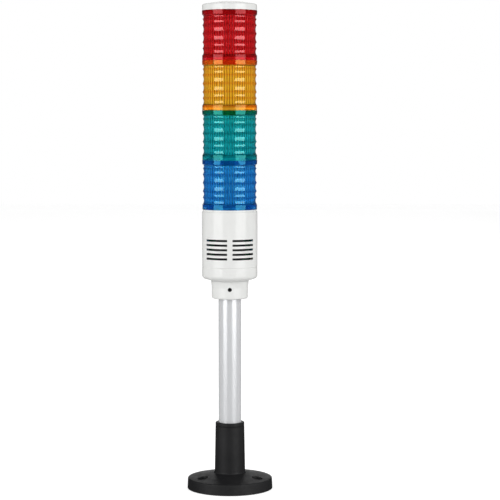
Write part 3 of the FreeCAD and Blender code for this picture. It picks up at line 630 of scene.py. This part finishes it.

# %% [markdown]
# ## Flutes and sight windows
# Seen from outside, each flute's sharp root is a dark line and its rib is clear. That dark line
# is painted shade: a deep colour in the bore where the root bends the light away. The socket
# wall can't be seen into, so it is taken to be frosted with three clear windows. They show the
# spigot of the next tier once it is home, and give each upper band its deep middle. Both
# patterns repeat round the axis. They could be painted face by face, but a cosine of the turn
# about the axis gives them soft edges and falls in step with the shape.

# %% Paint shade in the flute roots and clear the windows by the turn about the axis
ROOT_SHADE_START, ROOT_SHADE_FULL = 0.4, 0.95
WINDOW_EDGE = 0.04


def angle_wave(finish, times, start):
    """A cosine that runs the given times round the axis and peaks at the start angle."""
    place = add(finish, "ShaderNodeTexCoord")
    parts = add(finish, "ShaderNodeSeparateXYZ")
    turn_round = add(finish, "ShaderNodeMath", operation="ARCTAN2")
    count = add(finish, "ShaderNodeMath", {1: times, 2: -times * math.radians(start)},
                operation="MULTIPLY_ADD")
    wave = add(finish, "ShaderNodeMath", operation="COSINE")
    join(finish, place, "Object", parts, "Vector")
    join(finish, parts, "Y", turn_round, 0)
    join(finish, parts, "X", turn_round, 1)
    join(finish, turn_round, 0, count, 0)
    join(finish, count, 0, wave, 0)
    return wave


def flute_root_shade(finish, root, rib):
    """Paints shade into the bore at each flute's root and leaves its rib clear."""
    tones = two_tones(finish, rib, root, ROOT_SHADE_START, ROOT_SHADE_FULL)
    join(finish, angle_wave(finish, FLUTES, 0), 0, tones, "Fac")


def clear_windows(finish, times, start, half, frosted):
    """Clears windows in a frosted wall: full transmission within the half angle."""
    edge = math.cos(math.radians(half * times))
    clear = add(finish, "ShaderNodeMapRange", {
        "From Min": edge - WINDOW_EDGE, "From Max": edge + WINDOW_EDGE,
        "To Min": frosted, "To Max": 1.0})
    join(finish, angle_wave(finish, times, start), 0, clear, "Value")
    join(finish, clear, 0, shader_of(finish), "Transmission Weight")


print("helpers for flutes and windows written")

# %% [markdown]
# ## Tints
# Resin makers give a tint as one colour, but it looks deeper the more resin light crosses.
# One colour for all would turn either the crests too pale or the hollows too dark. So each
# tier has a deep and a light tone, a thin one for the hollows, one for what it mirrors and
# one for the light that it lets in. Real clear plastic mirrors without a tint, and its bore
# scatters alike in every colour. The mirror tints and the amber bore's stronger scatter are
# choices for the look: without them the bars turn grey and the amber tier too dark.

# %% Choose the tints
# The deep tone is partly painted shade: it darkens the crests, and at a small share of its
# strength it paints the shade in the flute roots.
TINTS = {
    "red": {
        "deep": (0.40, 0.014, 0.022), "light": (0.84, 0.045, 0.060), "thin": (1.0, 0.08, 0.10),
        "mirror": (1.0, 0.24, 0.25), "let_in": (1.0, 0.40, 0.40),
        "bore_clearness": 0.6, "socket_depth": 0.8,
    },
    "amber": {
        "deep": (0.84, 0.28, 0.025), "light": (1.00, 0.61, 0.065), "thin": (1.0, 0.84, 0.15),
        "mirror": (1.0, 0.78, 0.25), "let_in": (1.0, 0.88, 0.45),
        "bore_clearness": 0.4, "socket_depth": 0.62,
    },
    "green": {
        "deep": (0.004, 0.20, 0.22), "light": (0.016, 0.54, 0.60), "thin": (0.04, 0.82, 0.88),
        "mirror": (0.13, 1.0, 0.88), "let_in": (0.35, 0.92, 0.90),
        "bore_clearness": 0.6, "socket_depth": 0.8,
    },
    "blue": {
        "deep": (0.016, 0.14, 0.40), "light": (0.055, 0.40, 0.86), "thin": (0.09, 0.64, 1.0),
        "mirror": (0.11, 0.78, 1.0), "let_in": (0.45, 0.80, 1.0),
        "bore_clearness": 0.6, "socket_depth": 0.8,
    },
}
print("tints", ", ".join(TINTS))

# %% [markdown]
# ## Lens plastics
# A lens is one shot of resin, yet its mould is polished outside, fluted inside and fine
# grained in the socket. One finish could switch between the three by place. Three finishes
# on the faces they belong to are easier to read and change. The outside bends and mirrors,
# and the other two scatter part of the light, as a lens over lamps must. The outside has a
# refraction index above that of the resin, again for the look, because with the resin's own
# it mirrors the soft boxes too weakly.

# %% Mix the lens plastics
OUTER_IOR, RESIN_IOR = 1.78, 1.53
ROOT_SHADE_DEPTH = 0.15
WINDOWS, WINDOW_START, WINDOW_HALF = 3, 270, 15
FROSTED = 0.7
OUTER_SHARE, INNER_SHARE = 1.0, 0.5


def deepen(tone, depth):
    """A colour times a depth."""
    return tuple(depth * part for part in tone)


lens_finishes = {}
for colour, tint in TINTS.items():
    outer = new_finish(colour + "_lens_plastic", {
        "Transmission Weight": 1.0, "IOR": OUTER_IOR, "Specular IOR Level": 1.0,
        "Specular Tint": (*tint["mirror"], 1), "Coat Roughness": 0.03})
    # The outer tint deepens at the crests: thicker resin, and painted shade where the crests
    # bend light away.
    wall_tint_and_crest_shade(outer, tint["thin"], tint["deep"])
    roughen(outer, scale=90, low=0.0, high=0.02)
    let_light_in(outer, tint["let_in"], OUTER_SHARE)
    bore = new_finish(colour + "_lens_bore", {
        "Transmission Weight": tint["bore_clearness"], "IOR": RESIN_IOR})
    # The flute roots get painted shade: the deep tone at a small share of its strength.
    flute_root_shade(bore, root=deepen(tint["deep"], ROOT_SHADE_DEPTH), rib=tint["light"])
    roughen(bore, scale=400, low=0.10, high=0.16)
    let_light_in(bore, tint["let_in"], INNER_SHARE)
    socket = new_finish(colour + "_lens_socket", {"IOR": RESIN_IOR})
    depth = tint["socket_depth"]
    mottle(socket, scale=60, first=deepen(tint["deep"], depth),
           second=deepen(tint["light"], depth))
    roughen(socket, scale=400, low=0.05, high=0.1)
    clear_windows(socket, WINDOWS, WINDOW_START, WINDOW_HALF, FROSTED)
    let_light_in(socket, tint["let_in"], INNER_SHARE)
    lens_finishes[colour] = [outer, bore, socket]
print("lens plastics", ", ".join(lens_finishes))

# %% [markdown]
# ## Four tiers
# All tiers come from one mould in four colours, so the pattern is copied four times, each
# copy with its own mesh because each turns by itself. Its faces get the bore or the socket
# finish by their place, and the copy is lifted to its tier, which the construction lens
# leaves to it. The pattern itself is deleted.

# %% Set a lens in each tier
STACK_Z = 286.1
PITCH = 50.0
TIERS = ["blue", "green", "amber", "red"]
OUTER, BORE, SOCKET = 0, 1, 2
INNER_RIM_R = RIM_R - 0.5


def wall_of(reach, height):
    """Which wall of the lens a face belongs to, from its radius and height."""
    if reach < BORE_R + FLUTE_DEPTH and LOW_BAND_Z < height < LEDGE_Z:
        return BORE
    in_socket = reach < INNER_RIM_R and height > LEDGE_Z - NEAR
    in_low_cone = reach < BORE_R and 0 < height < LOW_BAND_Z
    return SOCKET if in_socket or in_low_cone else OUTER


for number, colour in enumerate(TIERS):
    start_clean()
    lens_pattern.select_set(True)
    bpy.context.view_layer.objects.active = lens_pattern
    bpy.ops.object.duplicate(linked=False)
    lens = bpy.context.object
    lens.name = colour + "_tier_lens"
    lens.data.name = lens.name
    for finish in lens_finishes[colour]:
        lens.data.materials.append(finish)
    for face in lens.data.polygons:
        reach = math.hypot(face.center.x, face.center.y) / MM
        face.material_index = wall_of(reach, face.center.z / MM)
    bpy.ops.transform.translate(value=(0, 0, (STACK_Z + PITCH * number) * MM))
    bpy.ops.object.transform_apply(location=True, rotation=True, scale=True)
    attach(lens, colour + "_tier")
    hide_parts(colour + "_lens")
    print(lens.name, "on", colour + "_tier")
start_clean()
lens_pattern.select_set(True)
bpy.ops.object.delete()

# %% [markdown]
# ## White mouldings
# The housing, covers, cap and lamp carriers are glossy off-white plastic. One flat white
# would do from afar. Close up, such a moulding wanders a little in tone and gloss, and a very
# fine ripple from the mould breaks its highlights.

# %% Mix the white plastic
white = new_finish("white_plastic", {"IOR": 1.5})
mottle(white, scale=25, first=(0.765, 0.77, 0.755), second=(0.79, 0.795, 0.78))
roughen(white, scale=120, low=0.14, high=0.20)
ripple(white, scale=1400, strength=0.06, distance=0.0001)
print(white.name, "mixed")

# %% [markdown]
# ## Black base
# The base and its collar are black plastic with a fine satin grain. A coat would make them
# look wet, so the grain is left bare: high roughness, a weak mirror and a small bump.

# %% Mix the black plastic
black = new_finish("black_plastic", {"IOR": 1.5, "Specular IOR Level": 0.35})
mottle(black, scale=40, first=(0.010, 0.010, 0.011), second=(0.016, 0.016, 0.017))
roughen(black, scale=200, low=0.48, high=0.6)
ripple(black, scale=2500, strength=0.15, distance=0.0001)
print(black.name, "mixed")

# %% [markdown]
# ## Drawn pole
# The pole is drawn aluminium with a satin oxide skin. Bare metal would turn black between
# the soft boxes. The skin scatters much of the light, so the finish is only partly metal,
# and its noise is stretched along the pole, as the drawing marks run.

# %% Mix the drawn aluminium
aluminium = new_finish("drawn_aluminium", {
    "Metallic": 0.4, "IOR": 1.5, "Specular IOR Level": 0.2})
mottle(aluminium, scale=60, first=(0.88, 0.89, 0.91), second=(0.92, 0.93, 0.95),
       stretch=(1, 1, 0.04))
roughen(aluminium, scale=600, low=0.20, high=0.24, stretch=(1, 1, 0.02))
print(aluminium.name, "mixed")

# %% [markdown]
# ## Gasket and seals
# The ring under the base is black rubber, and the seals between the tiers are pale silicone,
# which hardly shows through the tinted walls. Black seals would draw a dark line round every
# tier. Rubber is matt and rippled. Silicone lets some light through.

# %% Mix the rubber and the silicone
rubber = new_finish("black_rubber", {"IOR": 1.5})
mottle(rubber, scale=80, first=(0.014, 0.014, 0.014), second=(0.022, 0.022, 0.022))
roughen(rubber, scale=300, low=0.75, high=0.9)
ripple(rubber, scale=1800, strength=0.3, distance=0.0001)

silicone = new_finish("clear_silicone", {"IOR": 1.41, "Transmission Weight": 0.6})
mottle(silicone, scale=80, first=(0.75, 0.75, 0.73), second=(0.8, 0.8, 0.78))
roughen(silicone, scale=300, low=0.4, high=0.55)
print(rubber.name, "and", silicone.name, "mixed")

# %% [markdown]
# ## Screws and contacts
# The screws are blackened steel and the contact pins and pads are gilt brass. Both are bare
# metal, so all their colour is in what they mirror, and the tone and roughness wander at the
# scale of tool marks.

# %% Mix the steel and the brass
steel = new_finish("black_steel", {"Metallic": 1.0})
mottle(steel, scale=300, first=(0.04, 0.04, 0.045), second=(0.07, 0.07, 0.075))
roughen(steel, scale=500, low=0.3, high=0.45)
ripple(steel, scale=2500, strength=0.2, distance=0.00005)

brass = new_finish("gold_plated_brass", {"Metallic": 1.0})
mottle(brass, scale=400, first=(0.78, 0.52, 0.20), second=(0.86, 0.60, 0.26))
roughen(brass, scale=700, low=0.22, high=0.34)
print(steel.name, "and", brass.name, "mixed")

# %% [markdown]
# ## Boards and parts
# The upright lamp boards are given a black mask, which keeps the middle of each tier dark
# while its lamps are off. The control board in the housing is plain green. Drivers, sounder and
# terminals are dark mouldings, and the lamps are pale resin over phosphor. All are small and
# behind plastic, so a mottle and a roughness are enough.

# %% Mix the boards, the small mouldings and the lamps
board = new_finish("black_circuit_board", {"IOR": 1.5})
mottle(board, scale=500, first=(0.012, 0.013, 0.014), second=(0.020, 0.021, 0.022))
roughen(board, scale=800, low=0.35, high=0.5)

green_board = new_finish("green_circuit_board", {"IOR": 1.5})
mottle(green_board, scale=500, first=(0.01, 0.11, 0.04), second=(0.015, 0.15, 0.06))
roughen(green_board, scale=800, low=0.3, high=0.45)

component = new_finish("component_plastic", {"IOR": 1.5})
mottle(component, scale=300, first=(0.02, 0.02, 0.022), second=(0.035, 0.035, 0.037))
roughen(component, scale=600, low=0.4, high=0.6)

lamp_resin = new_finish("lamp_resin", {"IOR": 1.5})
mottle(lamp_resin, scale=600, first=(0.80, 0.78, 0.66), second=(0.86, 0.84, 0.74))
roughen(lamp_resin, scale=800, low=0.2, high=0.35)
print("boards, small mouldings and lamps mixed")

# %% [markdown]
# ## Finishing the construction model
# Every other piece keeps its construction shape and only gets its finish. A list of all 48
# names would be long and easy to break, so the first word that a name holds decides, and
# whatever no word fits is a white moulding. The more exact words come first.

# %% Give each construction piece its finish
FINISH_WORDS = [
    ("gasket", rubber), ("seal", silicone), ("screw", steel),
    ("pole_base", black), ("pole", aluminium), ("pins", brass), ("pads", brass),
    ("terminal", component), ("driver", component), ("sounder", component),
    ("control_board", green_board), ("board", board), ("leds", lamp_resin),
]
for name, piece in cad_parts.items():
    finish = next((found for word, found in FINISH_WORDS if word in name), white)
    for material_slot in piece.material_slots:
        material_slot.material = finish
print(len(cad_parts), "construction pieces finished")
